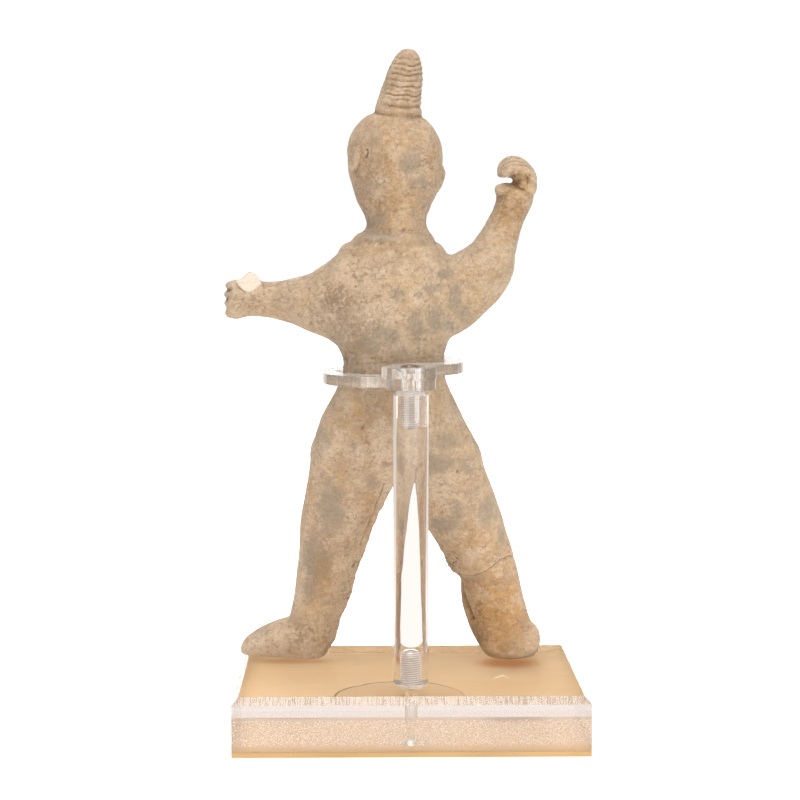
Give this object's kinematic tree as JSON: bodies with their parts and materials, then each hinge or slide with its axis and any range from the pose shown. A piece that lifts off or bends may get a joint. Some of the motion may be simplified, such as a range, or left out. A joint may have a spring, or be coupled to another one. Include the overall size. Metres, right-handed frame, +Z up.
{
  "type": "terracotta warrior figure",
  "caption": "Hand-modelled terracotta warrior in a wide fighting stance, with a tall coiled topknot, held at the waist by clear acrylic hooks on a post and base block.",
  "frame": {"origin": "centre of the base's underside", "axes": "+Z up; -Y is the way the figure's chest faces; +X is the figure's left, the way its straight arm points; the post of the stand is behind the figure, on +Y"},
  "size_m": [0.2081, 0.15, 0.3957],
  "materials": {
    "terracotta": "matt unglazed fired clay, buff to orange, with grey mottling",
    "peach_board": "smooth peach-coloured board with a faint grain",
    "base_block_acrylic": "polished clear acrylic",
    "post_acrylic": "polished clear acrylic",
    "lower_hook_acrylic": "polished clear acrylic",
    "upper_hook_acrylic": "polished clear acrylic",
    "clamp_screw_acrylic": "polished clear acrylic",
    "base_screw_acrylic": "polished clear acrylic"
  },
  "bodies": {
    "root": {"figure": "terracotta", "backing_board": "peach_board", "base_block": "base_block_acrylic", "post": "post_acrylic", "lower_hook": "lower_hook_acrylic", "upper_hook": "upper_hook_acrylic", "clamp_screw": "clamp_screw_acrylic", "base_screw": "base_screw_acrylic"}
  },
  "joints": []
}
